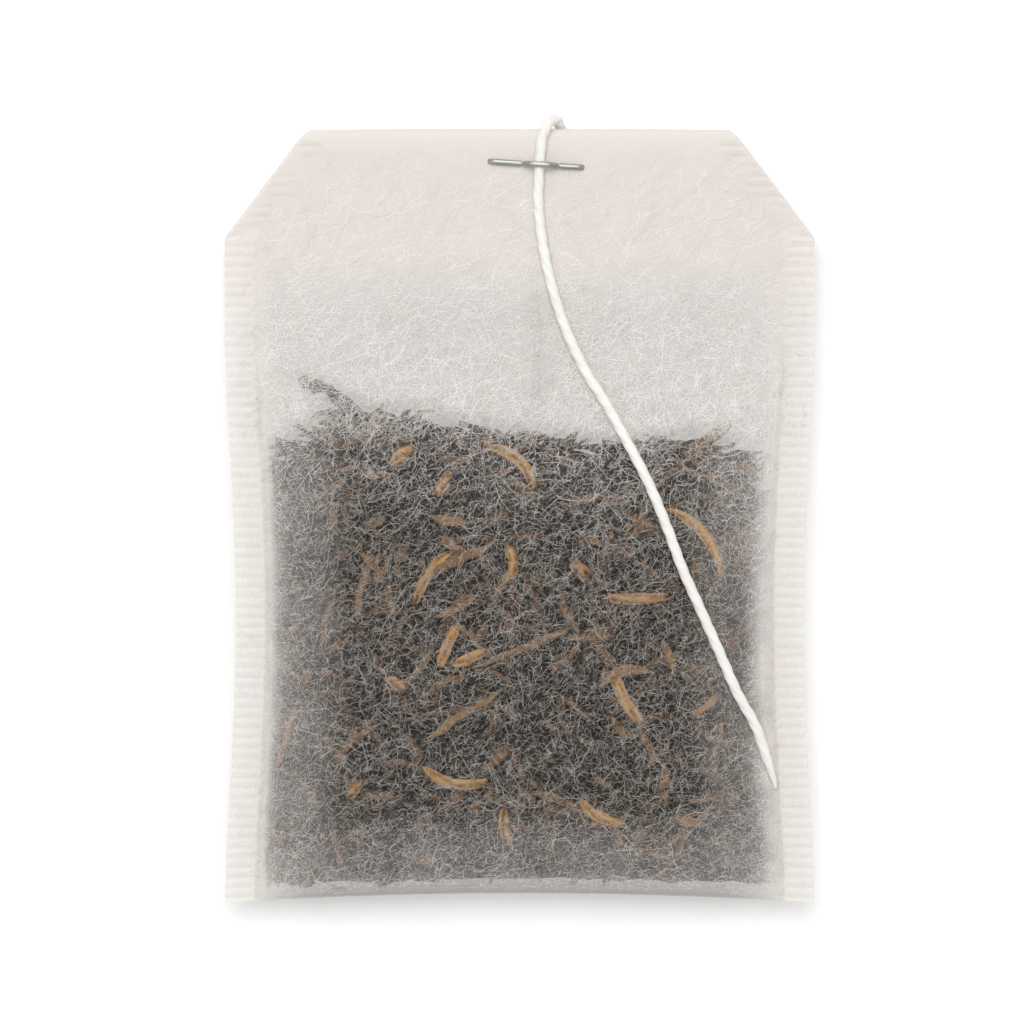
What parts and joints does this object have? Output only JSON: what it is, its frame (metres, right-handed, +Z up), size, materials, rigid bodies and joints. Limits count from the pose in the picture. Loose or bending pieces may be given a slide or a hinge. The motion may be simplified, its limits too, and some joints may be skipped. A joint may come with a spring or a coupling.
{
  "type": "flat tea bag",
  "caption": "Flat filter-paper tea bag with crimped side seals and a folded, stapled top, filled with loose leaf tea, its string lying down the front.",
  "frame": {"origin": "middle of the bag's outline, on the table that it lies on", "axes": "+X across the bag to the right of its front face, +Y from the bottom fold to the top fold, +Z up from the table, out of the front face"},
  "size_m": [0.05, 0.0668, 0.0078],
  "materials": {
    "filter_paper": "matte",
    "tea_leaf": "matte",
    "leaf_tip": "matte",
    "cotton_string": "matte",
    "staple_wire": "satin"
  },
  "bodies": {
    "root": {"filter_bag": "filter_paper", "tea_bed": "tea_leaf", "leaf_curl_01": "leaf_tip", "leaf_curl_02": "leaf_tip", "leaf_curl_03": "leaf_tip", "leaf_curl_04": "leaf_tip", "leaf_curl_05": "leaf_tip", "leaf_curl_06": "leaf_tip", "leaf_curl_07": "leaf_tip", "leaf_curl_08": "leaf_tip", "leaf_curl_09": "leaf_tip", "leaf_curl_10": "leaf_tip", "leaf_curl_11": "leaf_tip", "leaf_curl_12": "leaf_tip", "leaf_curl_13": "leaf_tip", "leaf_curl_14": "leaf_tip", "leaf_curl_15": "leaf_tip", "leaf_curl_16": "leaf_tip", "leaf_curl_17": "leaf_tip", "string": "cotton_string", "staple": "staple_wire"}
  },
  "joints": []
}
